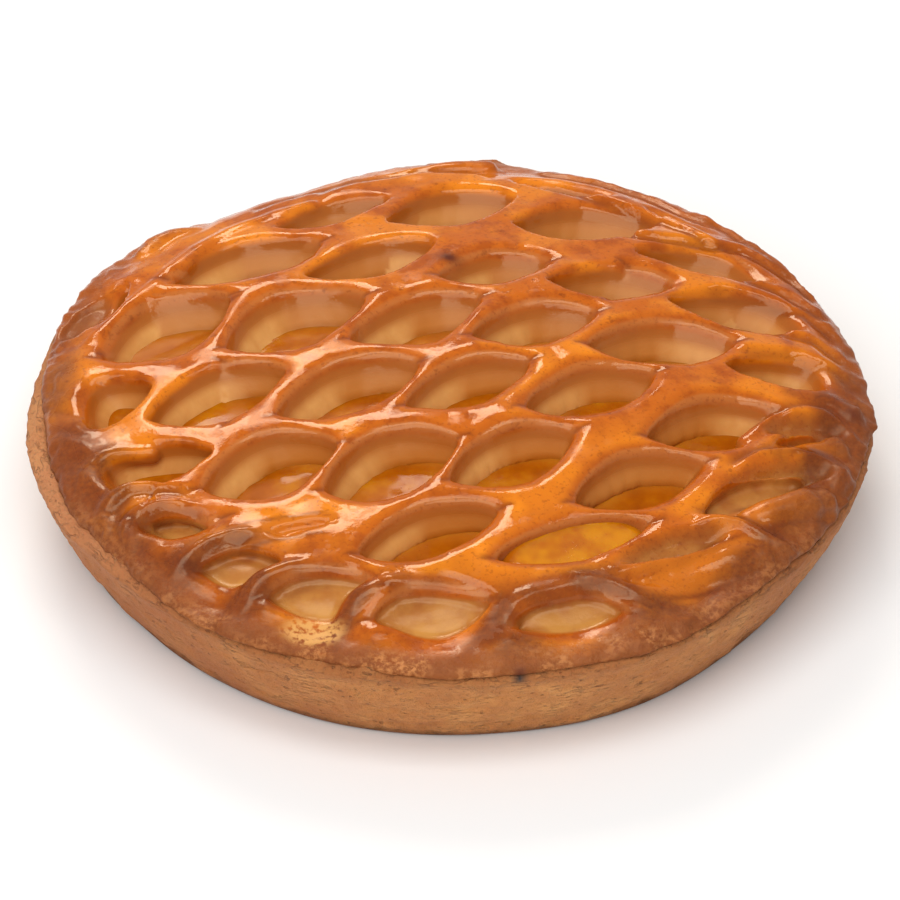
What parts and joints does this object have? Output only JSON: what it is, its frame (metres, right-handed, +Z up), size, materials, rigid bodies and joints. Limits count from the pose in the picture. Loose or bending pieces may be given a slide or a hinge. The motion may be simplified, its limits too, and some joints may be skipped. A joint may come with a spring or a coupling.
{
  "type": "lattice apricot tart",
  "caption": "Whole round fruit tart: a flared shortcrust case, an apricot filling and a domed, glazed lattice lid with leaning eye-shaped openings.",
  "frame": {"origin": "centre of the flat underside that the tart stands on", "axes": "+Z up; -Y towards the side with the pressed-down front edge; +X to the right as seen from -Y"},
  "size_m": [0.202, 0.2035, 0.0419],
  "materials": {
    "shortcrust": "dry, sandy, pale golden shortcrust, browner near the rim",
    "apricot_jam": "wet, translucent amber apricot filling",
    "glazed_pastry": "baked pastry under a clear, wet apricot glaze"
  },
  "bodies": {
    "root": {"pastry_case": "shortcrust", "apricot_filling": "apricot_jam", "lattice_lid": "glazed_pastry"}
  },
  "joints": []
}
